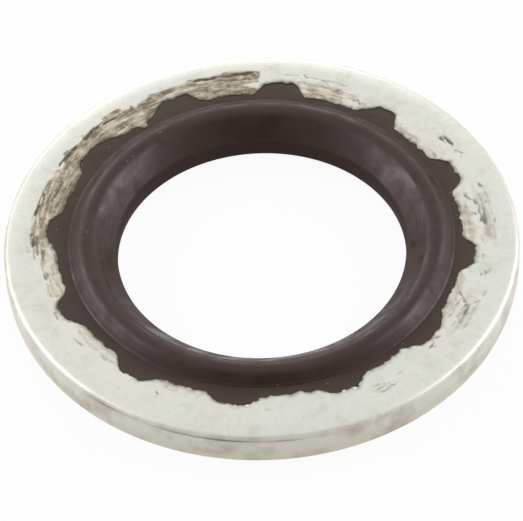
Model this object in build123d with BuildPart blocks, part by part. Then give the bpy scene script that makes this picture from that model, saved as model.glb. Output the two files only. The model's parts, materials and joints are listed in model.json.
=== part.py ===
from build123d import *
import os

# Bonded sealing washer, in millimetres.
# A punched steel ring carries a rubber seal, moulded and bonded into its toothed hole.
# +Z is the washer's axis. The origin is on that axis, in the plane that the lower
# sealing bead stands on, so the whole washer lies above z = 0.

# Radial build-up, from the bore outwards
bore_diameter = 11.5          # clear bore through the rubber
lip_width = 1.93              # sealing lip, from the bore to the foot of its bead
flange_width = 0.39           # flat rubber between the bead's foot and the tooth tips
rim_width = 2.18              # steel from the tooth tips to the outer edge

# Steel ring
ring_thickness = 1.5
crown_width = 0.6             # outer band of the upper face, drawn down by the punch
crown_drop = 0.07             # how far that band has fallen at the outer wall
crown_blend_radius = 2.5      # from the flat face into the crown
edge_corner_radius = 0.18     # soft corner between the crown and the wall
fracture_height = 0.55        # lower part of the outer wall, where the sheet broke away
fracture_taper = 0.06         # how far that part leans in at the lower face
edge_break = 0.1              # chamfer of the deburred lower outer edge

# Notches round the hole, which key the rubber to the steel
notch_count = 12
first_notch_angle = 22.0      # degrees from +X to the middle of the first notch
notch_depth = 0.53            # from the tooth tips out to the floor of a notch
notch_mouth_width = 2.35
notch_floor_width = 1.45
notch_floor_corner = 0.4      # radius in the corners of a notch's floor
tooth_corner = 0.6            # radius on the corners of the teeth

# Rubber seal, the same above and below the middle of the ring
bead_height = 0.45            # crest of the bead above the steel face
crest_share = 0.632           # place of the crest across the lip, from the bore
crest_land = 0.48             # width of the crest before its edges are rounded
crest_corner = 0.75           # broad rounding from the crest down the outer slope
crest_inner_corner = 0.35     # smaller rounding from the crest down the inner slope
bore_wall_height = 0.7        # straight wall at the bore, before its corners are rounded
bore_corner = 0.5             # rounding from the bore's wall into the inner slopes
flange_recess = 0.05          # flange below the steel face
foot_step = 0.08              # small step up from the flange to the bead's foot

# Radii and levels that follow from the sizes above
bore_radius = bore_diameter / 2
crest_radius = bore_radius + crest_share * lip_width
foot_radius = bore_radius + lip_width
tooth_tip_radius = foot_radius + flange_width
notch_floor_radius = tooth_tip_radius + notch_depth
ring_radius = tooth_tip_radius + rim_width
fracture_radius = ring_radius - fracture_taper

ring_bottom = bead_height
ring_middle = ring_bottom + ring_thickness / 2
ring_top = ring_bottom + ring_thickness

# Heights above and below the middle of the ring
bore_wall_half = bore_wall_height / 2
crest_half = ring_thickness / 2 + bead_height
flange_half = ring_thickness / 2 - flange_recess
foot_half = flange_half + foot_step

# Outline that the hole in the ring and the edge of the rubber share. Each notch is a
# trapezoid that starts inside the hole, where it is wider, and narrows to its floor.
notch_root_radius = tooth_tip_radius - notch_depth
notch_root_width = 2 * notch_mouth_width - notch_floor_width
with BuildSketch() as toothed_hole:
    Circle(tooth_tip_radius)
    with PolarLocations(0, notch_count, start_angle=first_notch_angle):
        Polygon(
            (notch_root_radius, -notch_root_width / 2),
            (notch_floor_radius, -notch_floor_width / 2),
            (notch_floor_radius, notch_floor_width / 2),
            (notch_root_radius, notch_root_width / 2),
            align=None,
        )
    tooth_corners, floor_corners = toothed_hole.vertices().group_by(SortBy.DISTANCE)
    fillet(floor_corners, notch_floor_corner)
    fillet(tooth_corners, tooth_corner)

# Steel ring: the blank's section, with its crowned upper edge and broken lower wall,
# pierced by the toothed hole
with BuildPart() as metal_ring:
    with BuildSketch(Plane.XZ) as blank_section:
        with BuildLine() as blank_outline:
            FilletPolyline(
                (0, ring_bottom),
                (fracture_radius - edge_break, ring_bottom),
                (fracture_radius, ring_bottom + edge_break),
                (ring_radius, ring_bottom + fracture_height),
                (ring_radius, ring_top - crown_drop),
                (ring_radius - crown_width, ring_top),
                (0, ring_top),
                radius=[0, 0, 0, 0, edge_corner_radius, crown_blend_radius, 0],
                close=True,
            )
        make_face()
    revolve(axis=Axis.Z)
    with BuildSketch(Plane.XY.offset(ring_bottom)):
        add(toothed_hole.sketch)
    extrude(amount=ring_thickness, mode=Mode.SUBTRACT)
metal_ring.part.label = "metal_ring"

# Rubber seal: a flange that fills the toothed hole, and a lip whose bead stands proud
# of both faces and whose inner slopes run down to the rounded wall of the bore
lip_plane = Plane(origin=(0, 0, ring_middle), x_dir=(1, 0, 0), z_dir=(0, -1, 0))
with BuildPart() as rubber_seal:
    with BuildSketch(Plane.XY.offset(ring_middle)) as flange_outline:
        add(toothed_hole.sketch)
        Circle(crest_radius, mode=Mode.SUBTRACT)
    extrude(amount=flange_half, both=True)
    with BuildSketch(lip_plane) as lip_section:
        with BuildLine() as lip_outline:
            FilletPolyline(
                (bore_radius, 0),
                (bore_radius, bore_wall_half),
                (crest_radius - crest_land / 2, crest_half),
                (crest_radius + crest_land / 2, crest_half),
                (foot_radius, foot_half),
                (foot_radius, 0),
                radius=[bore_corner, crest_inner_corner, crest_corner, 0],
            )
            mirror(about=Plane.XZ)
        make_face()
    revolve(axis=Axis.Z)
rubber_seal.part.label = "rubber_seal"

os.makedirs("parts", exist_ok=True)
export_step(metal_ring.part, "parts/metal_ring.step")
export_step(rubber_seal.part, "parts/rubber_seal.step")
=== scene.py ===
"""Looks of a bonded sealing washer: zinc-plated steel ring, moulded rubber lip, studio."""

from __future__ import annotations

import json
import logging
import math
from dataclasses import dataclass, field
from enum import Enum

import bpy
import numpy as np
from mathutils import Matrix, Vector, noise


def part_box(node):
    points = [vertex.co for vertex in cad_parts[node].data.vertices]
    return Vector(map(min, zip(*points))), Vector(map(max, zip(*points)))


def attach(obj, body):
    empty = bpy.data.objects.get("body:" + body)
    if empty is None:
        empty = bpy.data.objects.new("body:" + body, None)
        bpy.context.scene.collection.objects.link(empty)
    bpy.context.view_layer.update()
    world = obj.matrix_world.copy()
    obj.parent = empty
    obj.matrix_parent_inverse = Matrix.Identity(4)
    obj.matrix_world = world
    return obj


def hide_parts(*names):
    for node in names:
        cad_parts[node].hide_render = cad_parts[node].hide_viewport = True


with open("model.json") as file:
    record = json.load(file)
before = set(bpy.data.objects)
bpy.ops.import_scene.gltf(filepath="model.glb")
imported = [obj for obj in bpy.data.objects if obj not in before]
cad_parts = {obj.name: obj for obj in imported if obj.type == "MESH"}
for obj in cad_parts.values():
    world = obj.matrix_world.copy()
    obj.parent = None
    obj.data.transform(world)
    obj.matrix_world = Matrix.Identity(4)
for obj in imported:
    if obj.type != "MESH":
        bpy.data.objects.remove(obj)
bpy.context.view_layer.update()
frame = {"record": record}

LOG = logging.getLogger("sealing_washer")
MM = 0.001
WHITE = (1.0, 1.0, 1.0, 1.0)

Colour = tuple[float, float, float, float]


def linear(hex_colour: str) -> Colour:
    """Turns an sRGB hex colour into the linear colour that shaders take.

    Args:
        hex_colour: six hex digits after a hash sign.

    Returns:
        Linear red, green and blue, and an alpha of 1.
    """
    channels = [int(hex_colour[i:i + 2], 16) / 255 for i in (1, 3, 5)]
    bent = [c / 12.92 if c <= 0.04045 else ((c + 0.055) / 1.055) ** 2.4 for c in channels]
    return (bent[0], bent[1], bent[2], 1.0)


def add_node(
    tree: bpy.types.NodeTree,
    kind: str,
    inputs: dict[str | int, object] | None = None,
    out: str | int = 0,
    **settings: object,
) -> bpy.types.NodeSocket | None:
    """Adds one node, sets its options, and sets or links its inputs.

    Args:
        tree: the node tree that takes the node.
        kind: Blender's name for the node type.
        inputs: socket name or index, with a number, a colour or another node's output.
        out: name or index of the output wanted.
        **settings: properties of the node itself.

    Returns:
        The wanted output, or nothing for a node that has none.
    """
    node = tree.nodes.new(kind)
    for name, value in settings.items():
        setattr(node, name, value)
    for key, value in (inputs or {}).items():
        if isinstance(value, bpy.types.NodeSocket):
            tree.links.new(value, node.inputs[key])
        else:
            node.inputs[key].default_value = value
    return node.outputs[out] if node.outputs else None


def fresh_material(name: str) -> tuple[bpy.types.Material, bpy.types.NodeTree]:
    """Makes an empty node material.

    Args:
        name: the material's name.

    Returns:
        The material and its cleared node tree.
    """
    material = bpy.data.materials.new(name)
    material.use_nodes = True
    material.node_tree.nodes.clear()
    return material, material.node_tree


def smooth_step(values: np.ndarray) -> np.ndarray:
    """Eases values from 0 to 1, flat at both ends."""
    held = np.clip(values, 0.0, 1.0)
    return held * held * (3.0 - 2.0 * held)


def turn_gap(angles: np.ndarray, centre: float) -> np.ndarray:
    """Signed difference in degrees from a centre, the short way round."""
    return (angles - centre + 180.0) % 360.0 - 180.0


def ring_noise(angles: np.ndarray, radii: np.ndarray, along: float, across: float, seed: float) -> np.ndarray:
    """Noise on polar places that closes on itself round the ring.

    Args:
        angles: degrees, of any shape.
        radii: millimetres, of the same shape.
        along: length of one noise cell along the circle, in millimetres.
        across: length of one noise cell along the radius, in millimetres.
        seed: picks another pattern.

    Returns:
        Values of about -1 to 1 in the shape of the angles.
    """
    turns = np.radians(angles)
    wheel = MarkedBand.MEAN_RADIUS / along
    x = np.cos(turns) * wheel + seed * 7.31
    y = np.sin(turns) * wheel - seed * 3.17
    z = radii / across + seed
    flat = zip(x.ravel(), y.ravel(), z.ravel())
    return np.array([noise.noise(Vector(p)) for p in flat]).reshape(angles.shape)


def polar_rings(angles: np.ndarray, radii: list[np.ndarray], heights: list[np.ndarray]) -> np.ndarray:
    """Turns rows of polar places in millimetres into points in metres.

    Args:
        angles: degrees of the columns.
        radii: one array of radii for each row.
        heights: one array of heights for each row.

    Returns:
        Points shaped (rows, columns, 3).
    """
    turns = np.radians(angles)
    r = np.array(radii)
    points = np.stack([r * np.cos(turns), r * np.sin(turns), np.array(heights)], axis=-1)
    return points * MM


def rounded_path(
    start: tuple[float, float],
    corners: list[tuple[float, float, float]],
    end: tuple[float, float],
    steps: int = 6,
) -> list[tuple[float, float]]:
    """Straight runs joined by tangent arcs.

    Args:
        start: first point.
        corners: x, y and radius of each corner.
        end: last point.
        steps: pieces in each arc.

    Returns:
        The points of the path.
    """
    places = [Vector(start)] + [Vector(c[:2]) for c in corners] + [Vector(end)]
    path = [places[0]]
    for index, corner in enumerate(corners, start=1):
        here = places[index]
        back = (places[index - 1] - here).normalized()
        ahead = (places[index + 1] - here).normalized()
        half_angle = back.angle(ahead) / 2
        reach = corner[2] / math.tan(half_angle)
        centre = here + (back + ahead).normalized() * (corner[2] / math.sin(half_angle))
        first = here + back * reach - centre
        last = here + ahead * reach - centre
        span = first.angle_signed(last)
        for step in range(steps + 1):
            turned = first.copy()
            turned.rotate(Matrix.Rotation(-span * step / steps, 2))
            path.append(centre + turned)
    path.append(places[-1])
    return [(p.x, p.y) for p in path]


def lathe_mesh(name: str, rings: np.ndarray, layers: dict[str, np.ndarray]) -> bpy.types.Object:
    """Joins rings of points into one closed ring-shaped skin.

    Args:
        name: the object's name.
        rings: points in metres, shaped (rings, points round, 3). The last ring joins the first.
        layers: named per-point values, shaped (rings, points round).

    Returns:
        The object, linked into the scene.
    """
    row_count, point_count, _ = rings.shape
    row = np.arange(row_count)[:, None]
    col = np.arange(point_count)[None, :]
    next_row = (row + 1) % row_count
    next_col = (col + 1) % point_count
    corners = (
        row * point_count + col,
        row * point_count + next_col,
        next_row * point_count + next_col,
        next_row * point_count + col,
    )
    faces = np.stack(np.broadcast_arrays(*corners), axis=-1).reshape(-1, 4)
    mesh = bpy.data.meshes.new(name)
    mesh.from_pydata(rings.reshape(-1, 3).tolist(), [], faces.tolist())
    for layer_name, values in layers.items():
        layer = mesh.attributes.new(layer_name, "FLOAT", "POINT")
        layer.data.foreach_set("value", values.astype(np.float32).ravel())
    mesh.shade_smooth()
    mesh.update()
    piece = bpy.data.objects.new(name, mesh)
    bpy.context.scene.collection.objects.link(piece)
    return piece


@dataclass(frozen=True)
class Notch:
    """One notch of the punched hole, as it came out on this washer.

    Its floor and its mouth are given in degrees from its middle, on the side of the smaller
    angles and on the side of the larger ones. A negative depth is a tongue of the ring that
    stands in over the rubber.
    """

    angle: float
    depth: float
    floor_before: float = 2.6
    mouth_before: float = 8.0
    floor_after: float = 3.0
    mouth_after: float = 8.6

    def reach(self, angles: np.ndarray) -> np.ndarray:
        """How far the notch cuts outwards from the tooth tips.

        Args:
            angles: degrees.

        Returns:
            Millimetres at each angle, below zero for a tongue.
        """
        gap = turn_gap(angles, self.angle)
        floor = np.where(gap < 0, self.floor_before, self.floor_after)
        mouth = np.where(gap < 0, self.mouth_before, self.mouth_after)
        away = np.abs(gap)
        crown = 1.0 - 0.16 * np.clip(away / mouth, 0.0, 1.0) ** 2
        return self.depth * crown * smooth_step((mouth - away) / (mouth - 0.8 * floor))


@dataclass(frozen=True)
class Patch:
    """A scuffed patch between two angles and two radii, in degrees and millimetres."""

    END_FADE = 3.4  # degrees over which its two ends fade
    INNER_FADE = 0.18
    OUTER_FADE = 0.12
    start: float
    end: float
    inner: float
    outer: float
    strength: float

    def cover(self, angles: np.ndarray, radii: np.ndarray) -> np.ndarray:
        """Strength of the patch at each place, fading out at its borders.

        Args:
            angles: degrees.
            radii: millimetres.

        Returns:
            Values from 0 to the patch's strength.
        """
        middle = (self.start + self.end) / 2
        half = (self.end - self.start) / 2
        along = smooth_step((half - np.abs(turn_gap(angles, middle))) / self.END_FADE + 0.5)
        inside = smooth_step((radii - self.inner) / self.INNER_FADE + 0.5)
        outside = smooth_step((self.outer - radii) / self.OUTER_FADE + 0.5)
        return self.strength * along * inside * outside


@dataclass(frozen=True)
class Score:
    """A dark line pressed into the plating, from one polar place to another."""

    start: float
    start_radius: float
    end: float
    end_radius: float
    width: float
    strength: float

    def cover(self, angles: np.ndarray, radii: np.ndarray, wobble: np.ndarray) -> np.ndarray:
        """Strength of the line at each place, with a ragged edge and thin spots.

        Args:
            angles: degrees.
            radii: millimetres.
            wobble: noise of about -1 to 1 at the same places.

        Returns:
            Values from 0 to the line's strength.
        """
        middle = (self.start + self.end) / 2
        half = max((self.end - self.start) / 2, 0.01)
        place = turn_gap(angles, middle) / half
        held = np.clip(place, -1.0, 1.0)
        line = (self.start_radius + self.end_radius) / 2 + held * (self.end_radius - self.start_radius) / 2
        past = (np.abs(place) - 1.0).clip(0.0) * half * math.pi / 180 * line
        away = np.hypot(radii - line + 0.6 * self.width * wobble, past)
        thin = self.width * (0.62 + 0.95 * wobble)
        return self.strength * smooth_step((thin - away) / (1.3 * self.width) + 0.5)


@dataclass(frozen=True)
class Glint:
    """A painted highlight (glint) on the torn rim, where its edge catches the light, at an angle and with a
    half width.
    """

    REACH = 1.6  # half widths from its middle to where it has faded out
    turn: float
    size: float

    def cover(self, angles: np.ndarray, away: np.ndarray) -> np.ndarray:
        """Share of the painted highlight at each place.

        Args:
            angles: degrees.
            away: millimetres out from the torn rim.

        Returns:
            Values from 0 to 1.
        """
        along = turn_gap(angles, self.turn) * math.pi / 180 * MarkedBand.MEAN_RADIUS
        return smooth_step(self.REACH - np.hypot(along, away - self.size) / self.size)


@dataclass(frozen=True)
class MarkedBand:
    """Where the mould gripped the ring: scuffed plating between the teeth and its seat."""

    MEAN_RADIUS = 8.8
    patches: tuple[Patch, ...]
    scores: tuple[Score, ...]
    glints: tuple[Glint, ...] = ()
    fringe_width: float = 0.075
    speck_reach: float = 9.25

    def scuff(self, angles: np.ndarray, radii: np.ndarray) -> np.ndarray:
        """Wear of the plating at each place.

        Args:
            angles: degrees.
            radii: millimetres.

        Returns:
            Values from 0 to 1.
        """
        drift = ring_noise(angles, radii, 0.60, 0.35, 1.0)
        scallop = ring_noise(angles, radii, 0.55, 0.60, 8.0)
        blotch = ring_noise(angles, radii, 0.50, 0.16, 2.0)
        streak = ring_noise(angles, radii, 1.50, 0.08, 6.0)
        worn = np.zeros_like(radii)
        for patch in self.patches:
            torn = patch.cover(angles + 6.0 * drift, radii + 0.16 * blotch + 0.30 * scallop)
            worn = np.maximum(worn, torn)
        return np.clip(worn * (1.02 + 0.40 * streak + 0.50 * blotch), 0.0, 1.0)

    def bright(self, angles: np.ndarray, away: np.ndarray) -> np.ndarray:
        """Painted highlights (glints) on the torn rim at each place.

        Args:
            angles: degrees.
            away: millimetres out from the torn rim.

        Returns:
            Values from 0 to 1.
        """
        painted_glints = np.zeros_like(away)
        for glint in self.glints:
            painted_glints = np.maximum(painted_glints, glint.cover(angles, away))
        return painted_glints

    def grime(self, angles: np.ndarray, radii: np.ndarray, rim: np.ndarray) -> np.ndarray:
        """Dark residue at each place, from 0 to 1.

        Args:
            angles: degrees.
            radii: millimetres.
            rim: radius of the torn rim at the same places.

        Returns:
            Scores, specks, and the film of rubber that clings to the torn rim.
        """
        wobble = ring_noise(angles, radii, 0.26, 0.11, 3.0)
        wobble = wobble + 0.35 * ring_noise(angles, radii, 0.10, 0.07, 4.0)
        dark = np.zeros_like(radii)
        for score in self.scores:
            dark = np.maximum(dark, score.cover(angles, radii, wobble))
        cling = ring_noise(angles, radii, 0.9, 1.4, 5.0)
        away = radii - rim
        film = np.exp(-away / self.fringe_width) * (0.75 + 0.5 * cling + 0.35 * wobble)
        film += np.exp(-away / (2.8 * self.fringe_width)) * (0.34 + 0.35 * cling + 0.25 * wobble)
        where = smooth_step((self.speck_reach - radii) / 0.3) * smooth_step(1.1 * cling + 0.25)
        specks = 0.7 * where * smooth_step((wobble - 0.62) / 0.16)
        return np.clip(np.maximum(np.maximum(dark, film), specks), 0.0, 1.0)


class Face(Enum):
    """Face of the ring, by the direction it looks along the axis."""

    UPPER = 1.0
    LOWER = -1.0


@dataclass
class SteelRing:
    """Stamped steel ring with its toothed hole, crowned edge and marked upper face."""

    outer_radius: float
    bottom: float
    top: float
    notches: tuple[Notch, ...]
    upper_marks: MarkedBand
    lower_marks: MarkedBand
    tooth_tip_radius: float = 8.065
    hole_offset: float = 0.085
    hole_offset_angle: float = 225.0
    crown_width: float = 0.92
    crown_drop: float = 0.07
    edge_corner: float = 0.18
    fracture_height: float = 0.55
    fracture_taper: float = 0.06
    edge_break: float = 0.1
    lip_depth: float = 0.05
    lip_overhang: float = 0.02
    band_radius: float = 9.30
    # Angle and half span of the painted dark line along the front of the upper edge, where the corner faces
    # the dark opening.
    shade_line_angle: float = 255.0
    shade_line_span: float = 30.0
    points_round: int = 1200
    upper_rows: int = 40
    lower_rows: int = 10
    angles: np.ndarray = field(init=False)
    masks: dict[Face, tuple[np.ndarray, ...]] = field(init=False, default_factory=dict)

    def __post_init__(self) -> None:
        """Places the columns of points round the ring."""
        self.angles = np.arange(self.points_round) * 360.0 / self.points_round

    def hole_radius(self, angles: np.ndarray) -> np.ndarray:
        """Radius of the toothed hole's wall.

        Args:
            angles: degrees.

        Returns:
            Millimetres at each angle.
        """
        reach = np.zeros_like(angles)
        for notch in self.notches:
            own = notch.reach(angles)
            reach = np.where(np.abs(own) > np.abs(reach), own, reach)
        drift = ring_noise(angles, np.full_like(angles, self.tooth_tip_radius), 1.1, 1.0, 9.0)
        off_centre = self.hole_offset * np.cos(np.radians(angles - self.hole_offset_angle))
        return self.tooth_tip_radius + off_centre + reach + 0.05 * drift

    def torn_rim(self, seed: float) -> np.ndarray:
        """Radius to which the plating's torn rim reaches over the rubber.

        Args:
            seed: picks the pattern of the tear.

        Returns:
            Millimetres at each of the ring's angles.
        """
        at_tip = np.full_like(self.angles, self.tooth_tip_radius)
        coarse = ring_noise(self.angles, at_tip, 0.45, 1.0, seed)
        fine = ring_noise(self.angles, at_tip, 0.20, 1.0, seed + 1.0)
        reach = self.lip_overhang + 0.07 * coarse + 0.065 * fine
        return self.hole_radius(self.angles) - np.clip(reach, -0.04, 0.15)

    def face_rows(self, face: Face) -> tuple[list[np.ndarray], list[np.ndarray]]:
        """Rows of one face, from the torn rim out to the start of its shaped edge.

        Args:
            face: the face to lay out.

        Returns:
            Radii and heights of the rows, in millimetres.
        """
        up = face is Face.UPPER
        marks = self.upper_marks if up else self.lower_marks
        rows = self.upper_rows if up else self.lower_rows
        seed = 11.0 if up else 31.0
        sign = face.value
        level = self.top if up else self.bottom
        end = self.outer_radius - (self.crown_width if up else self.edge_break + self.fracture_taper)
        rim = self.torn_rim(seed)
        radii = [rim + (self.band_radius - rim) * share for share in np.linspace(0.0, 1.0, rows)]
        radii += [np.full_like(self.angles, r) for r in np.linspace(self.band_radius, end, 4)[1:]]
        grid = np.array(radii)
        turns = np.broadcast_to(self.angles, grid.shape)
        scuffed = marks.scuff(turns, grid)
        dark = marks.grime(turns, grid, rim)
        fade = smooth_step((end - grid) / 0.3)
        relief = 0.004 * ring_noise(turns, grid, 1.1, 0.9, seed + 4.0)
        relief -= 0.008 * scuffed * (1.0 + ring_noise(turns, grid, 0.5, 0.12, seed + 5.0))
        relief -= 0.022 * dark
        heights = level + sign * np.minimum(relief, 0.0) * fade
        heights[0] -= sign * 0.022
        heights[1] -= sign * 0.006
        self.masks[face] = (scuffed, dark, marks.bright(turns, grid - rim))
        return list(grid), list(heights)

    def upper_edge(self) -> tuple[list[float], list[float]]:
        """Section of the crowned band and its crisp corner, down to the outer wall.

        Returns:
            Radii and heights, in millimetres.
        """
        start = self.outer_radius - self.crown_width
        shares = np.linspace(0.0, 1.0, 9)[1:]
        run = self.crown_width - self.edge_corner
        radii = [start + run * share for share in shares]
        heights = [self.top - self.crown_drop * share ** 2 for share in shares]
        slope = math.atan2(2 * self.crown_drop, run)
        turns = np.linspace(slope, math.pi / 2, 5)[1:]
        centre_height = heights[-1] - self.edge_corner * math.cos(slope)
        corner_base = radii[-1] - self.edge_corner * math.sin(slope)
        stretch = (self.outer_radius - radii[-1]) / (self.edge_corner * (1 - math.sin(slope)))
        for turn in turns:
            past = corner_base + self.edge_corner * math.sin(turn) - radii[len(shares) - 1]
            radii.append(radii[len(shares) - 1] + past * stretch)
            heights.append(centre_height + self.edge_corner * math.cos(turn))
        return radii, heights

    def outer_wall(self) -> tuple[list[np.ndarray], list[np.ndarray]]:
        """Rows of the sheared wall, its rough fracture and the deburred lower edge.

        Returns:
            Radii and heights of the rows, in millimetres.
        """
        flat = np.ones_like(self.angles)
        line = ring_noise(self.angles, flat * self.outer_radius, 1.3, 1.0, 21.0)
        fracture_top = self.bottom + self.fracture_height + 0.05 * line
        foot = self.outer_radius - self.fracture_taper
        radii = [flat * self.outer_radius] * 5
        heights = [flat * (self.top - drop) for drop in (0.26, 0.31, 0.38, 0.5)] + [fracture_top]
        radii += [flat * (self.outer_radius - 0.018), flat * (foot + 0.01)]
        heights += [fracture_top - 0.03, flat * (self.bottom + self.edge_break * 1.6)]
        turns = np.linspace(0.0, math.pi / 2, 4)
        centre = foot - self.edge_break
        radii += [flat * (centre + self.edge_break * math.cos(t)) for t in turns]
        heights += [flat * (self.bottom + self.edge_break * (1 - math.sin(t))) for t in turns]
        return radii, heights

    def front_shade_line(self) -> np.ndarray:
        """Strength of the painted dark line along the front of the upper edge, a painted reflection of the
        dark opening above the front.

        Returns:
            Values from 0 to 1 at each of the ring's angles.
        """
        along = np.full_like(self.angles, self.outer_radius)
        ragged = 0.75 + 0.8 * ring_noise(self.angles, along, 1.2, 1.0, 51.0)
        near = smooth_step((self.shade_line_span - np.abs(turn_gap(self.angles, self.shade_line_angle))) / 14.0 + 0.5)
        return np.clip(0.6 * near * ragged, 0.0, 1.0)

    def build(self) -> bpy.types.Object:
        """Makes the ring's skin as one closed mesh.

        Returns:
            The ring, with the layers scuff, grime (with the painted dark line along the front edge), glint
            (painted highlights), wall and fracture.
        """
        flat = np.ones_like(self.angles)
        upper_radii, upper_heights = self.face_rows(Face.UPPER)
        lower_radii, lower_heights = self.face_rows(Face.LOWER)
        edge_radii, edge_heights = self.upper_edge()
        wall_radii, wall_heights = self.outer_wall()
        hole = self.hole_radius(self.angles)
        low = self.bottom + self.lip_depth
        high = self.top - self.lip_depth
        hole_radii = [hole + 0.05, hole + 0.06, hole + 0.06, hole + 0.05]
        hole_heights = [flat * low, flat * (low + 0.03), flat * (high - 0.03), flat * high]

        radii = upper_radii + [flat * r for r in edge_radii] + wall_radii
        radii += lower_radii[::-1][1:] + hole_radii
        heights = upper_heights + [flat * h for h in edge_heights] + wall_heights
        heights += lower_heights[::-1][1:] + hole_heights

        edge_count = len(edge_radii)
        wall_count = len(wall_radii)
        inside = np.zeros((len(hole_radii), self.points_round))
        plain = np.zeros((edge_count + wall_count, self.points_round))
        shade_lined_edge = plain.copy()
        # Painted shade: a dark line along the front of the upper edge stands in for the reflection of the
        # dark opening, carried in the grime layer.
        shade_lined_edge[edge_count - 2:edge_count + 2] = np.outer((0.3, 0.9, 1.0, 0.4), self.front_shade_line())
        layers = {}
        for index, (name, edge) in enumerate((("scuff", plain), ("grime", shade_lined_edge), ("glint", plain))):
            lower = self.masks[Face.LOWER][index][::-1][1:]
            layers[name] = np.concatenate([self.masks[Face.UPPER][index], edge, lower, inside])
        sheared = np.zeros(len(radii))
        first = len(upper_radii) + edge_count
        sheared[first - 4:first] = (0.3, 0.8, 1.0, 1.0)
        sheared[first:first + wall_count - 2] = 1.0
        layers["wall"] = np.repeat(sheared[:, None], self.points_round, axis=1)
        broken = np.zeros(len(radii))
        first_broken = len(upper_radii) + edge_count + 5
        broken[first_broken:first_broken + wall_count - 5] = 1.0
        layers["fracture"] = np.repeat(broken[:, None], self.points_round, axis=1)
        return lathe_mesh("steel_ring", polar_rings(self.angles, radii, heights), layers)


@dataclass
class RubberSeal:
    """Moulded rubber: a flange in the toothed hole and a lip with a bead on each side."""

    ring: SteelRing
    bore_radius: float
    bottom: float
    top: float
    foot_radius: float = 7.58
    crest_radius: float = 6.93
    crest_land: float = 0.50
    crest_corner: float = 0.50
    inner_crest_corner: float = 0.62
    bore_wall: float = 0.7
    bore_drop: float = 0.12
    bore_corner: float = 0.5
    flange_recess: float = 0.05
    foot_step: float = 0.07
    foot_slope: float = 0.08
    foot_shelf: float = 0.04
    insert_radius: float = 6.22
    insert_step: float = 0.003
    mould_shift: float = 0.10
    flange_rows: int = 8
    points_round: int = 720

    def half_section(self, drop: float) -> list[tuple[float, float]]:
        """Points of one half of the section, from the flange in to the bore.

        Args:
            drop: how far the end of the bore's wall moves towards the middle.

        Returns:
            Radius and distance from the middle of the ring, in millimetres.
        """
        middle = (self.top + self.bottom) / 2
        flange = self.ring.top - self.flange_recess - middle
        foot = flange + self.foot_step
        crest = self.top - middle
        wall_end = self.bore_wall / 2 - drop
        crest_inner = self.crest_radius - self.crest_land / 2
        fall = (crest - wall_end) / (crest_inner - self.bore_radius)
        insert = wall_end + (self.insert_radius - self.bore_radius) * fall
        shelf = self.foot_radius + self.foot_shelf
        corners = [
            (shelf + self.foot_slope, flange, 0.05),
            (shelf, foot - 0.005, 0.03),
            (self.foot_radius, foot, 0.03),
            (self.crest_radius + self.crest_land / 2, crest, self.crest_corner),
            (crest_inner, crest, self.inner_crest_corner),
            (self.insert_radius + 0.03, insert + 0.03 * fall + self.insert_step, 0.01),
            (self.insert_radius, insert, 0.01),
            (self.bore_radius, wall_end, self.bore_corner),
        ]
        start = (shelf + self.foot_slope + 0.04, flange)
        return rounded_path(start, corners, (self.bore_radius, -drop))

    def build(self) -> bpy.types.Object:
        """Makes the seal's skin as one closed mesh.

        Returns:
            The seal, with the layers flange and land.
        """
        angles = np.arange(self.points_round) * 360.0 / self.points_round
        flat = np.ones_like(angles)
        middle = (self.top + self.bottom) / 2
        half = self.half_section(self.bore_drop)
        lower = self.half_section(-self.bore_drop)
        inner, level = half[0]
        edge = self.ring.hole_radius(angles) + 0.06
        shares = np.linspace(0.0, 1.0, self.flange_rows)
        spread = [inner + (edge - inner) * share for share in shares]
        ripple = [0.012 * share * ring_noise(angles, r, 0.8, 0.5, 41.0) for share, r in zip(shares, spread)]

        lip = half[::-1][:-1]
        radii = [flat * r for r, _ in lip] + spread + [edge] + spread[::-1]
        radii += [flat * r for r, _ in lower[1:-1]]
        heights = [flat * h for _, h in lip] + [level + wave for wave in ripple] + [flat * 0.0]
        heights += [-level + wave for wave in ripple[::-1]] + [flat * -h for _, h in lower[1:-1]]
        heights = [middle + h for h in heights]
        flange = np.concatenate([
            np.zeros(len(lip)), shares, [1.0], shares[::-1], np.zeros(len(lower) - 2),
        ])
        layers = {"flange": np.repeat(flange[:, None], self.points_round, axis=1)}
        grid = np.array(radii)
        layers["land"] = smooth_step((self.bore_radius + 0.16 - grid) / 0.12)
        rings = polar_rings(angles, radii, heights)
        # The mould's halves met a little out of line, which leaves the upper bead nearer to -Y.
        above = smooth_step((np.array(heights) - middle) / 0.9)
        rings[..., 1] -= self.mould_shift * MM * above * smooth_step((self.foot_radius + 0.2 - grid) / 0.4)
        return lathe_mesh("rubber_lip_seal", rings, layers)


def cells_per_metre(millimetres: float) -> float:
    """Noise scale, in object coordinates, whose cells are that many millimetres across."""
    return 1000.0 / millimetres


def polar_place(tree: bpy.types.NodeTree, along: float, across: float) -> bpy.types.NodeSocket:
    """Texture place whose cells are long round the circle and narrow across it.

    Args:
        tree: the node tree.
        along: cell length round the circle, in millimetres.
        across: cell width along the radius, in millimetres.

    Returns:
        A vector to be used with a scale of 1.
    """
    place = add_node(tree, "ShaderNodeTexCoord", out="Object")
    flat = add_node(tree, "ShaderNodeVectorMath", {0: place, 1: (1.0, 1.0, 0.0)}, operation="MULTIPLY")
    length = add_node(tree, "ShaderNodeVectorMath", {0: flat}, out="Value", operation="LENGTH")
    unit = add_node(tree, "ShaderNodeVectorMath", {0: flat}, operation="NORMALIZE")
    wheel = MarkedBand.MEAN_RADIUS / along
    turned = add_node(tree, "ShaderNodeVectorMath", {0: unit, "Scale": wheel}, operation="SCALE")
    radial = add_node(tree, "ShaderNodeMath", {0: length, 1: cells_per_metre(across)}, operation="MULTIPLY")
    upright = add_node(tree, "ShaderNodeCombineXYZ", {"Z": radial})
    return add_node(tree, "ShaderNodeVectorMath", {0: turned, 1: upright}, operation="ADD")


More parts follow.
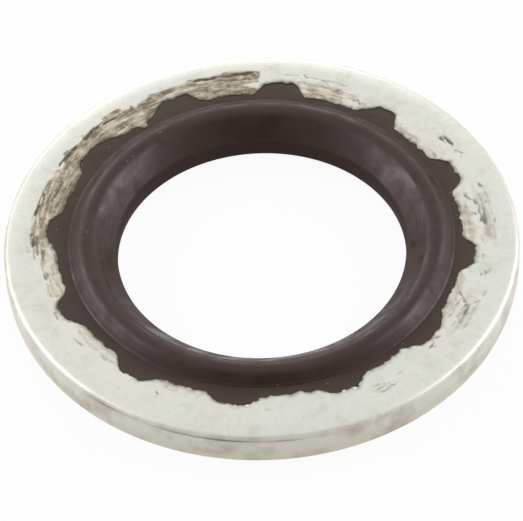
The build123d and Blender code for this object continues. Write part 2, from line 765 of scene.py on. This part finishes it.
@dataclass(frozen=True)
class ZincPlate:
    """Zinc-plated, clear-passivated stamped steel, tumbled to a soft satin.

    The passivate leaves faint green, blue and rose tints. Where the mould gripped it, the
    plating is rubbed to a duller grey-brown in streaks that run round the ring, and the
    sheared outer wall is duller and browner than the face. A few painted highlights (glints)
    on the torn rim are near white, as colour alone, and a painted dark line along the front
    of the upper edge stands in for the reflection of the dark opening, in the grime colour.
    """

    cream: str = "#E2E1D7"
    cool: str = "#DBE1DB"
    rose: str = "#E2D9D0"
    shade: str = "#CBC9BA"
    worn_pale: str = "#C9BEAA"
    worn_dark: str = "#7C6E5B"
    wall_pale: str = "#E3DFD5"
    wall_broken: str = "#E3DECD"
    wall_brown: str = "#AB9C8D"
    # Grime colour, also used for the painted dark line along the front of the upper edge.
    grime: str = "#544B40"
    # Colour of the painted highlights (glints) on the torn rim.
    painted_glint: str = "#FFFFFC"
    roughness: float = 0.38
    worn_roughness: float = 0.6
    tint_patch: float = 3.2
    mottle: float = 0.75
    fleck: float = 0.16
    stroke_width: float = 0.30
    stroke_length: float = 0.6
    streak_length: float = 0.7
    streak_width: float = 0.12
    peck: float = 0.30
    grain: float = 0.09

    def make(self) -> bpy.types.Material:
        """Builds the material.

        Returns:
            The finished material.
        """
        material, tree = fresh_material("zinc_plated_steel_satin")
        place = add_node(tree, "ShaderNodeTexCoord", out="Object")
        scuff = add_node(tree, "ShaderNodeAttribute", out="Fac", attribute_name="scuff")
        grime_and_shade = add_node(tree, "ShaderNodeAttribute", out="Fac", attribute_name="grime")
        wall = add_node(tree, "ShaderNodeAttribute", out="Fac", attribute_name="wall")

        clean = self.passivated(tree, place)
        streak_place = polar_place(tree, self.streak_length, self.streak_width)
        drawn = add_node(
            tree, "ShaderNodeTexNoise", {"Vector": streak_place, "Scale": 1.0, "Detail": 4.0}, out="Fac"
        )
        pecked = add_node(
            tree,
            "ShaderNodeTexNoise",
            {"Vector": place, "Scale": cells_per_metre(self.peck), "Detail": 4.0, "Roughness": 0.7},
            out="Fac",
        )
        streak = add_node(tree, "ShaderNodeMath", {0: drawn, 1: pecked}, operation="ADD")
        streak = add_node(tree, "ShaderNodeMath", {0: streak, 1: 0.5}, operation="MULTIPLY")
        streaked = add_node(tree, "ShaderNodeMapRange", {0: streak, 1: 0.60, 2: 0.42})
        deep = add_node(tree, "ShaderNodeMapRange", {0: scuff, 1: 0.30, 2: 0.85, 3: 0.35, 4: 1.0})
        deep = add_node(tree, "ShaderNodeMath", {0: deep, 1: streaked}, operation="MULTIPLY")
        worn = add_node(
            tree,
            "ShaderNodeMix",
            {0: deep, 6: linear(self.worn_pale), 7: linear(self.worn_dark)},
            out=2,
            data_type="RGBA",
        )
        centred = add_node(tree, "ShaderNodeMath", {0: streak, 1: 0.5}, operation="SUBTRACT")
        torn = add_node(tree, "ShaderNodeMath", {0: centred, 1: -1.5, 2: scuff}, operation="MULTIPLY_ADD")
        held = add_node(tree, "ShaderNodeMath", {0: scuff, 1: 5.0}, operation="MULTIPLY", use_clamp=True)
        torn = add_node(tree, "ShaderNodeMath", {0: torn, 1: held}, operation="MULTIPLY")
        worn_share = add_node(tree, "ShaderNodeMapRange", {0: torn, 1: 0.10, 2: 0.70})
        # Grime together with the painted dark line along the front edge darkens the colour here.
        grime_and_shade_share = add_node(tree, "ShaderNodeMapRange", {0: grime_and_shade, 1: 0.12, 2: 0.85})
        colour = add_node(tree, "ShaderNodeMix", {0: worn_share, 6: clean, 7: worn}, out=2, data_type="RGBA")
        sheared = self.sheared(tree, place)
        colour = add_node(tree, "ShaderNodeMix", {0: wall, 6: colour, 7: sheared}, out=2, data_type="RGBA")
        colour = add_node(
            tree, "ShaderNodeMix", {0: grime_and_shade_share, 6: colour, 7: linear(self.grime)}, out=2, data_type="RGBA"
        )
        # Painted highlights: near-white glints on the torn rim, put into the base colour.
        glint = add_node(tree, "ShaderNodeAttribute", out="Fac", attribute_name="glint")
        colour = add_node(
            tree, "ShaderNodeMix", {0: glint, 6: colour, 7: linear(self.painted_glint)}, out=2, data_type="RGBA"
        )

        rubbed = add_node(tree, "ShaderNodeMath", {0: worn_share, 1: wall}, operation="MAXIMUM")
        worn_dull = add_node(tree, "ShaderNodeMath", {0: worn_share, 1: 0.5}, operation="MULTIPLY")
        wall_dull = add_node(tree, "ShaderNodeMath", {0: wall, 1: 0.8}, operation="MULTIPLY")
        dull = add_node(tree, "ShaderNodeMath", {0: worn_dull, 1: wall_dull}, operation="MAXIMUM")
        metallic = add_node(tree, "ShaderNodeMath", {0: 1.0, 1: dull}, operation="SUBTRACT")
        bare = add_node(tree, "ShaderNodeMath", {0: 1.0, 1: grime_and_shade_share}, operation="SUBTRACT")
        metallic = add_node(tree, "ShaderNodeMath", {0: metallic, 1: bare}, operation="MULTIPLY")
        rough = add_node(
            tree, "ShaderNodeMapRange", {0: rubbed, 3: self.roughness, 4: self.worn_roughness}
        )
        grain = add_node(
            tree,
            "ShaderNodeTexNoise",
            {"Vector": place, "Scale": cells_per_metre(self.grain), "Detail": 2.0},
            out="Fac",
        )
        relief = add_node(tree, "ShaderNodeMath", {0: streak, 1: worn_share}, operation="MULTIPLY")
        relief = add_node(tree, "ShaderNodeMath", {0: grain, 1: 0.35, 2: relief}, operation="MULTIPLY_ADD")
        bump = add_node(tree, "ShaderNodeBump", {"Height": relief, "Strength": 0.4, "Distance": 0.02 * MM})
        shader = add_node(
            tree,
            "ShaderNodeBsdfPrincipled",
            {"Base Color": colour, "Metallic": metallic, "Roughness": rough, "Normal": bump},
        )
        add_node(tree, "ShaderNodeOutputMaterial", {"Surface": shader})
        return material

    def passivated(self, tree: bpy.types.NodeTree, place: bpy.types.NodeSocket) -> bpy.types.NodeSocket:
        """Colour of the clean plating: cream with faint tints, mottled and flecked.

        Args:
            tree: the node tree.
            place: object coordinates.

        Returns:
            The colour.
        """
        green_patch = add_node(
            tree,
            "ShaderNodeTexNoise",
            {"Vector": place, "Scale": cells_per_metre(self.tint_patch), "Detail": 2.0},
            out="Fac",
        )
        moved = add_node(tree, "ShaderNodeVectorMath", {0: place, 1: (0.03, 0.01, 0.0)}, operation="ADD")
        rose_patch = add_node(
            tree,
            "ShaderNodeTexNoise",
            {"Vector": moved, "Scale": cells_per_metre(self.tint_patch), "Detail": 2.0},
            out="Fac",
        )
        mottled = add_node(
            tree,
            "ShaderNodeTexNoise",
            {"Vector": place, "Scale": cells_per_metre(self.mottle), "Detail": 6.0, "Roughness": 0.65},
            out="Fac",
        )
        flecked = add_node(
            tree,
            "ShaderNodeTexNoise",
            {"Vector": moved, "Scale": cells_per_metre(self.fleck), "Detail": 2.0},
            out="Fac",
        )
        stroke_place = polar_place(tree, self.stroke_width, self.stroke_length)
        stroked = add_node(
            tree, "ShaderNodeTexNoise", {"Vector": stroke_place, "Scale": 1.0, "Detail": 3.0}, out="Fac"
        )
        cool = add_node(tree, "ShaderNodeMapRange", {0: green_patch, 1: 0.44, 2: 0.70, 4: 0.50})
        rose = add_node(tree, "ShaderNodeMapRange", {0: rose_patch, 1: 0.52, 2: 0.76, 4: 0.55})
        shaded = add_node(tree, "ShaderNodeMapRange", {0: mottled, 1: 0.52, 2: 0.74, 4: 0.75})
        fleck = add_node(tree, "ShaderNodeMapRange", {0: flecked, 1: 0.56, 2: 0.75, 4: 0.40})
        stroke = add_node(tree, "ShaderNodeMapRange", {0: stroked, 1: 0.50, 2: 0.70, 4: 0.20})
        colour = linear(self.cream)
        tints = (
            (cool, self.cool),
            (rose, self.rose),
            (shaded, self.shade),
            (fleck, self.shade),
            (stroke, self.shade),
        )
        for share, tint in tints:
            colour = add_node(
                tree, "ShaderNodeMix", {0: share, 6: colour, 7: linear(tint)}, out=2, data_type="RGBA"
            )
        return colour

    def sheared(self, tree: bpy.types.NodeTree, place: bpy.types.NodeSocket) -> bpy.types.NodeSocket:
        """Colour of the sheared outer wall: dull, rosy above the fracture, with brown smears.

        Args:
            tree: the node tree.
            place: object coordinates.

        Returns:
            The colour.
        """
        smear = add_node(
            tree,
            "ShaderNodeTexNoise",
            {"Vector": place, "Scale": cells_per_metre(1.4), "Detail": 5.0, "Roughness": 0.6},
            out="Fac",
        )
        share = add_node(tree, "ShaderNodeMapRange", {0: smear, 1: 0.46, 2: 0.82})
        broken = add_node(tree, "ShaderNodeAttribute", out="Fac", attribute_name="fracture")
        plain = add_node(
            tree,
            "ShaderNodeMix",
            {0: broken, 6: linear(self.wall_pale), 7: linear(self.wall_broken)},
            out=2,
            data_type="RGBA",
        )
        return add_node(
            tree, "ShaderNodeMix", {0: share, 6: plain, 7: linear(self.wall_brown)}, out=2, data_type="RGBA"
        )


@dataclass(frozen=True)
class MouldedRubber:
    """Dark brown nitrile rubber as it left the mould: dull satin, with a little dust.

    Fine rings left by the turned mould catch the light along the lip, and the flange is a
    shade more olive than the lip.
    """

    brown: str = "#35251B"
    olive: str = "#3A321B"
    dust: str = "#9A8E88"
    sheen: str = "#F3E1EF"
    roughness: float = 0.26
    dull_roughness: float = 0.58
    trimmed_roughness: float = 0.85
    cloud: float = 2.5
    bloom_patch: float = 0.9
    turning_pitch: float = 0.12
    skin_grain: float = 0.06
    dust_spacing: float = 0.85

    def make(self) -> bpy.types.Material:
        """Builds the material.

        Returns:
            The finished material.
        """
        material, tree = fresh_material("moulded_nitrile_rubber")
        place = add_node(tree, "ShaderNodeTexCoord", out="Object")
        flange = add_node(tree, "ShaderNodeAttribute", out="Fac", attribute_name="flange")
        cloud = add_node(
            tree,
            "ShaderNodeTexNoise",
            {"Vector": place, "Scale": cells_per_metre(self.cloud), "Detail": 3.0},
            out="Fac",
        )
        tinted = add_node(tree, "ShaderNodeMath", {0: flange, 1: 0.8, 2: cloud}, operation="MULTIPLY_ADD")
        olive = add_node(tree, "ShaderNodeMapRange", {0: tinted, 1: 0.50, 2: 1.25})
        colour = add_node(
            tree,
            "ShaderNodeMix",
            {0: olive, 6: linear(self.brown), 7: linear(self.olive)},
            out=2,
            data_type="RGBA",
        )
        speck = add_node(
            tree,
            "ShaderNodeTexVoronoi",
            {"Vector": place, "Scale": cells_per_metre(self.dust_spacing), "Randomness": 1.0},
            out="Distance",
        )
        dusty = add_node(tree, "ShaderNodeMapRange", {0: speck, 1: 0.055, 2: 0.03, 3: 0.0, 4: 0.45})
        colour = add_node(
            tree, "ShaderNodeMix", {0: dusty, 6: colour, 7: linear(self.dust)}, out=2, data_type="RGBA"
        )
        turned_place = polar_place(tree, 9.0, self.turning_pitch)
        turned = add_node(
            tree, "ShaderNodeTexNoise", {"Vector": turned_place, "Scale": 1.0, "Detail": 2.0}, out="Fac"
        )
        grain = add_node(
            tree,
            "ShaderNodeTexNoise",
            {"Vector": place, "Scale": cells_per_metre(self.skin_grain), "Detail": 2.0},
            out="Fac",
        )
        relief = add_node(tree, "ShaderNodeMath", {0: grain, 1: 0.4, 2: turned}, operation="MULTIPLY_ADD")
        bump = add_node(tree, "ShaderNodeBump", {"Height": relief, "Strength": 0.6, "Distance": 0.011 * MM})
        land = add_node(tree, "ShaderNodeAttribute", out="Fac", attribute_name="land")
        bloom = add_node(
            tree,
            "ShaderNodeTexNoise",
            {"Vector": place, "Scale": cells_per_metre(self.bloom_patch), "Detail": 4.0},
            out="Fac",
        )
        smear = add_node(
            tree,
            "ShaderNodeMapRange",
            {0: bloom, 1: 0.35, 2: 0.65, 3: self.roughness, 4: self.dull_roughness},
        )
        rough = add_node(tree, "ShaderNodeMapRange", {0: land, 3: smear, 4: self.trimmed_roughness})
        shader = add_node(
            tree,
            "ShaderNodeBsdfPrincipled",
            {
                "Base Color": colour,
                "Roughness": rough,
                "IOR": 1.49,
                "Specular Tint": linear(self.sheen),
                "Normal": bump,
            },
        )
        add_node(tree, "ShaderNodeOutputMaterial", {"Surface": shader})
        return material


@dataclass(frozen=True)
class Softbox:
    """One large soft lamp, aimed at the washer."""

    name: str
    place: tuple[float, float, float]
    width: float
    height: float
    watts: float

    def light(self) -> None:
        """Adds the lamp to the scene."""
        lamp = bpy.data.lights.new(self.name, "AREA")
        lamp.shape = "RECTANGLE"
        lamp.size = self.width
        lamp.size_y = self.height
        lamp.energy = self.watts
        holder = bpy.data.objects.new(self.name, lamp)
        holder.location = self.place
        holder.rotation_euler = (-Vector(self.place)).to_track_quat("-Z", "Y").to_euler()
        holder.visible_camera = False
        bpy.context.scene.collection.objects.link(holder)


@dataclass(frozen=True)
class Studio:
    """White table and tent with a dark opening above the front, and three softboxes."""

    reach: float = 1.2
    table: str = "#F2F2F0"
    table_glow: float = 0.94
    table_in_gloss: float = 0.35
    daylight: float = 0.50
    opening: tuple[float, float, float] = (0.0, 0.8, -0.6)
    opening_glow: float = 0.18
    tent_glow: float = 0.88
    softboxes: tuple[Softbox, ...] = (
        Softbox("softbox_left", (-0.40, 0.09, 0.24), 0.36, 0.30, 1.15),
        Softbox("softbox_right", (0.40, 0.09, 0.24), 0.36, 0.30, 1.15),
        Softbox("softbox_back", (-0.10, 0.54, 0.16), 0.50, 0.24, 0.50),
    )

    def seen_direct(self, tree: bpy.types.NodeTree) -> bpy.types.NodeSocket:
        """Tells rays that come straight from the eye or through glass from the rest.

        Args:
            tree: the node tree to add to.

        Returns:
            One for such a ray, else zero.
        """
        eye = add_node(tree, "ShaderNodeLightPath", out="Is Camera Ray")
        glass = add_node(tree, "ShaderNodeLightPath", out="Is Transmission Ray")
        return add_node(tree, "ShaderNodeMath", {0: eye, 1: glass}, operation="MAXIMUM")

    def lay_table(self) -> None:
        """Adds the white table, which keeps a faint shadow."""
        mesh = bpy.data.meshes.new("table")
        r = self.reach
        mesh.from_pydata([(-r, -r, 0), (r, -r, 0), (r, r, 0), (-r, r, 0)], [], [(0, 1, 2, 3)])
        table = bpy.data.objects.new("table", mesh)
        bpy.context.scene.collection.objects.link(table)
        material, tree = fresh_material("white_table")
        matt = add_node(tree, "ShaderNodeBsdfDiffuse", {"Color": linear(self.table)})
        bright = add_node(tree, "ShaderNodeEmission", {"Color": WHITE, "Strength": 1.0})
        gloss = add_node(tree, "ShaderNodeLightPath", out="Is Glossy Ray")
        mirrored = add_node(tree, "ShaderNodeMath", {0: gloss, 1: self.table_in_gloss}, operation="MULTIPLY")
        direct = self.seen_direct(tree)
        seen = add_node(tree, "ShaderNodeMath", {0: direct, 1: self.table_glow}, operation="MULTIPLY")
        share = add_node(tree, "ShaderNodeMath", {0: seen, 1: mirrored}, operation="MAXIMUM")
        mixed = add_node(tree, "ShaderNodeMixShader", {0: share, 1: matt, 2: bright})
        add_node(tree, "ShaderNodeOutputMaterial", {"Surface": mixed})
        mesh.materials.append(material)

    def raise_tent(self) -> None:
        """Sets the world: white to the eye, plain soft light on surfaces, and in gloss a
        white tent that darkens towards its opening above the front of the table."""
        world = bpy.data.worlds.new("light_tent")
        world.use_nodes = True
        tree = world.node_tree
        tree.nodes.clear()
        bounce = add_node(tree, "ShaderNodeBackground", {"Color": WHITE, "Strength": self.daylight})
        white = add_node(tree, "ShaderNodeBackground", {"Color": WHITE, "Strength": 1.0})
        direction = add_node(tree, "ShaderNodeTexCoord", out="Generated")
        facing = add_node(
            tree,
            "ShaderNodeVectorMath",
            {0: direction, 1: self.opening},
            out="Value",
            operation="DOT_PRODUCT",
        )
        glow = add_node(
            tree,
            "ShaderNodeMapRange",
            {0: facing, 1: -0.97, 2: -0.60, 3: self.opening_glow, 4: self.tent_glow},
        )
        tent = add_node(tree, "ShaderNodeBackground", {"Color": WHITE, "Strength": glow})
        gloss = add_node(tree, "ShaderNodeLightPath", out="Is Glossy Ray")
        surface = add_node(tree, "ShaderNodeMixShader", {0: self.seen_direct(tree), 1: bounce, 2: white})
        surface = add_node(tree, "ShaderNodeMixShader", {0: gloss, 1: surface, 2: tent})
        add_node(tree, "ShaderNodeOutputWorld", {"Surface": surface})
        bpy.context.scene.world = world

    def light(self) -> None:
        """Builds the table, the tent and the lamps."""
        self.lay_table()
        self.raise_tent()
        for softbox in self.softboxes:
            softbox.light()
        bpy.context.scene.view_settings.view_transform = "Standard"


@dataclass(frozen=True)
class StillCamera:
    """A long lens above the front of the washer, tilted a little about its own axis."""

    elevation: float = 48.23
    roll: float = -2.19
    distance: float = 184.5
    lens: float = 317.55
    sensor: float = 36.0
    picture_width: float = 523.0
    aim_right: float = 0.9
    aim_down: float = 3.47

    def place(self, aim: Vector) -> None:
        """Adds the camera and makes it the scene's own.

        Args:
            aim: the point looked at, in metres.
        """
        data = bpy.data.cameras.new("still_camera")
        data.lens = self.lens
        data.sensor_width = self.sensor
        data.sensor_fit = "HORIZONTAL"
        data.clip_start = 0.01
        data.shift_x = -self.aim_right / self.picture_width
        data.shift_y = self.aim_down / self.picture_width
        camera = bpy.data.objects.new("still_camera", data)
        rise = math.radians(self.elevation)
        away = Vector((0.0, -math.cos(rise), math.sin(rise))) * self.distance * MM
        turn = Matrix.Rotation(math.pi / 2 - rise, 4, "X") @ Matrix.Rotation(math.radians(self.roll), 4, "Z")
        camera.matrix_world = Matrix.Translation(aim + away) @ turn
        bpy.context.scene.collection.objects.link(camera)
        bpy.context.scene.camera = camera


NOTCHES = (
    Notch(22, 0.595, floor_before=2.4, mouth_before=7.6, floor_after=4.4, mouth_after=9.2),
    Notch(51.5, 0.68, floor_before=1.6, mouth_before=6.6, floor_after=2.0, mouth_after=8.8),
    Notch(82.5, 0.63, floor_before=4.0, mouth_before=7.4, floor_after=4.8, mouth_after=9.0),
    Notch(112, 0.60, floor_before=3.0, mouth_before=7.2, floor_after=5.2, mouth_after=11.4),
    Notch(125.2, -0.22, floor_before=0.5, mouth_before=1.8, floor_after=0.4, mouth_after=2.4),
    Notch(143, 0.48, floor_before=1.4, mouth_before=14.5, floor_after=4.6, mouth_after=9.2),
    Notch(173, 0.47, floor_before=2.4, mouth_before=7.0, floor_after=2.4, mouth_after=9.6),
    Notch(203, 0.53, floor_before=2.2, mouth_before=6.8, floor_after=2.8, mouth_after=9.0),
    Notch(232, 0.55, floor_before=3.4, mouth_before=7.6, floor_after=3.8, mouth_after=9.0),
    Notch(260.5, 0.48, floor_before=3.2, mouth_before=8.4, floor_after=4.0, mouth_after=9.4),
    Notch(291, 0.46, floor_before=3.2, mouth_before=8.4, floor_after=3.4, mouth_after=8.4),
    Notch(320, 0.43, floor_before=3.0, mouth_before=8.6, floor_after=2.8, mouth_after=11.4),
    Notch(351, 0.475, floor_before=3.0, mouth_before=6.6, floor_after=4.0, mouth_after=8.0),
)

UPPER_MARKS = MarkedBand(
    patches=(
        Patch(90, 106, 7.6, 9.22, 0.85),
        Patch(105, 121, 7.6, 9.16, 0.72),
        Patch(119, 134, 7.6, 9.10, 0.85),
        Patch(126, 152, 7.6, 9.20, 1.0),
        Patch(148, 170, 7.6, 9.16, 0.95),
        Patch(167, 182, 8.5, 9.20, 0.62),
        Patch(181, 198, 7.6, 8.84, 0.46),
        Patch(62, 78, 7.6, 8.78, 0.50),
        Patch(40, 60, 7.6, 8.42, 0.40),
        Patch(28, 46, 7.6, 8.34, 0.42),
        Patch(-4, 13, 8.76, 9.30, 0.36),
        Patch(-4, 16, 7.6, 8.50, 0.40),
        Patch(-36, -23, 8.75, 9.32, 0.34),
        Patch(-33, -15, 7.6, 8.45, 0.36),
        Patch(205, 226, 7.6, 8.62, 0.36),
        Patch(236, 254, 7.6, 8.50, 0.28),
        Patch(296, 303, 8.95, 9.25, 0.35),
    ),
    scores=(
        Score(89.5, 9.22, 96, 9.18, 0.127, 1),
        Score(100.5, 9.16, 105.5, 9.20, 0.127, 1),
        Score(95, 9.16, 102, 9.14, 0.069, 0.8),
        Score(113, 9.08, 114.5, 9.15, 0.18, 0.66),
        Score(118.5, 9.10, 119.4, 9.00, 0.15, 0.74),
        Score(124.2, 9.12, 125, 8.90, 0.105, 0.74),
        Score(130, 9.05, 136, 9.20, 0.092, 0.9),
        Score(136, 9.22, 140, 9.10, 0.115, 1),
        Score(143.5, 9.14, 151, 9.16, 0.103, 0.95),
        Score(149, 8.90, 152, 8.86, 0.069, 0.7),
        Score(156, 8.66, 162, 8.64, 0.069, 0.7),
        Score(158, 8.85, 165, 8.84, 0.057, 0.6),
        Score(161.5, 9.14, 169, 9.17, 0.092, 0.95),
        Score(170, 8.95, 171.5, 8.92, 0.069, 0.6),
        Score(175.5, 9.18, 179.5, 9.10, 0.12, 0.78),
        Score(176, 8.92, 182.5, 8.90, 0.09, 0.7),
        Score(181, 8.70, 184.5, 8.72, 0.09, 0.57),
        Score(180, 9.05, 184, 9.02, 0.105, 0.41),
        Score(189.5, 8.72, 191, 8.76, 0.105, 0.49),
        Score(193, 8.74, 195, 8.76, 0.09, 0.41),
        Score(76.2, 9.02, 77.2, 9.16, 0.075, 0.66),
        Score(65, 9.04, 76, 9.08, 0.053, 0.45),
        Score(78, 9.08, 82, 9.10, 0.06, 0.41),
        Score(59.6, 8.35, 60.6, 8.50, 0.075, 0.66),
        Score(67, 8.72, 71, 8.66, 0.075, 0.41),
        Score(27.5, 9.22, 28.8, 9.08, 0.105, 0.7),
        Score(31.5, 9.18, 34.5, 9.14, 0.15, 0.78),
        Score(38.3, 9.16, 38.9, 9.04, 0.053, 0.49),
        Score(15, 9.23, 15.8, 9.17, 0.11, 0.62),
        Score(6, 9.27, 14.5, 9.26, 0.045, 0.5),
        Score(10.5, 8.70, 13.1, 8.43, 0.08, 0.56),
        Score(9.6, 8.74, 11, 8.68, 0.11, 0.62),
        Score(8.5, 8.82, 9.6, 9.17, 0.07, 0.56),
        Score(6.3, 8.74, 8.6, 8.82, 0.1, 0.6),
        Score(3.1, 8.92, 6.3, 8.74, 0.13, 0.64),
        Score(1.1, 8.99, 3.1, 8.92, 0.13, 0.64),
        Score(-1.9, 9.24, 7.5, 9.00, 0.3, 0.3),
        Score(2.6, 8.98, 8, 9.00, 0.07, 0.6),
        Score(1.4, 9.34, 5.7, 9.28, 0.06, 0.6),
        Score(334.9, 8.73, 337.1, 8.37, 0.1, 0.6),
        Score(328.6, 8.50, 335.3, 8.50, 0.05, 0.6),
        Score(331.3, 8.98, 333.8, 8.90, 0.15, 0.62),
        Score(333.8, 8.90, 336.3, 9.22, 0.06, 0.6),
        Score(328.8, 8.92, 331.3, 9.02, 0.2, 0.4),
        Score(345.1, 9.05, 345.7, 9.09, 0.12, 0.62),
        Score(345.6, 9.20, 347.5, 9.22, 0.09, 0.3),
        Score(350.6, 8.83, 351.6, 8.88, 0.08, 0.4),
        Score(203, 8.92, 205, 8.94, 0.105, 0.49),
        Score(213, 8.88, 216, 8.88, 0.075, 0.49),
        Score(241.2, 8.86, 241.8, 8.94, 0.075, 0.61),
        Score(269.2, 8.84, 270, 8.90, 0.06, 0.33),
        Score(298.8, 9.28, 301.2, 9.20, 0.22, 0.4),
        Score(301.2, 9.06, 302, 9.26, 0.09, 0.6),
        Score(316.6, 8.77, 318.2, 8.86, 0.1, 0.6),
        Score(320.3, 8.67, 321, 8.71, 0.09, 0.55),
    ),
    glints=(
        Glint(261.7, 0.035),
        Glint(264.7, 0.055),
        Glint(266.3, 0.040),
        Glint(268.0, 0.030),
        Glint(290.3, 0.045),
        Glint(293.2, 0.060),
        Glint(294.9, 0.040),
        Glint(299.0, 0.030),
    ),
)

LOWER_MARKS = MarkedBand(
    patches=(
        Patch(20, 75, 7.9, 9.1, 0.5),
        Patch(150, 190, 7.9, 9.0, 0.45),
        Patch(255, 300, 7.9, 9.15, 0.55),
    ),
    scores=(
        Score(30, 9.15, 44, 9.18, 0.05, 0.6),
        Score(262, 9.18, 271, 9.14, 0.06, 0.7),
    ),
)


@dataclass
class SealingWasher:
    """The whole washer: the ring and the seal, dressed and tied to the frame."""

    ring: SteelRing
    seal: RubberSeal

    @classmethod
    def from_frame(cls) -> SealingWasher:
        """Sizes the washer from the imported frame.

        Returns:
            The washer, ready to build.
        """
        ring_low, ring_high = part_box("metal_ring")
        seal_low, seal_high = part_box("rubber_seal")
        bore = next(m for m in frame["record"]["mounts"] if m["name"] == "bore")
        ring = SteelRing(
            outer_radius=ring_high.x / MM,
            bottom=ring_low.z / MM,
            top=ring_high.z / MM,
            notches=NOTCHES,
            upper_marks=UPPER_MARKS,
            lower_marks=LOWER_MARKS,
        )
        seal = RubberSeal(
            ring=ring,
            bore_radius=bore["dims"]["r_mm"],
            bottom=seal_low.z / MM,
            top=seal_high.z / MM,
        )
        return cls(ring, seal)

    def build(self) -> None:
        """Makes both pieces, dresses them and ties them to the frame."""
        ring = self.ring.build()
        ring.data.materials.append(ZincPlate().make())
        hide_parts("metal_ring")
        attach(ring, "root")
        LOG.info("%s: %d faces", ring.name, len(ring.data.polygons))

        seal = self.seal.build()
        seal.data.materials.append(MouldedRubber().make())
        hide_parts("rubber_seal")
        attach(seal, "root")
        LOG.info("%s: %d faces", seal.name, len(seal.data.polygons))


def main() -> None:
    """Builds the washer, the studio and the camera, and reports each piece."""
    logging.basicConfig(level=logging.INFO, format="%(name)s: %(message)s")
    washer = SealingWasher.from_frame()
    washer.build()
    Studio().light()
    StillCamera().place(Vector((0.0, 0.0, washer.ring.bottom * MM)))


if __name__ == "__main__":
    main()
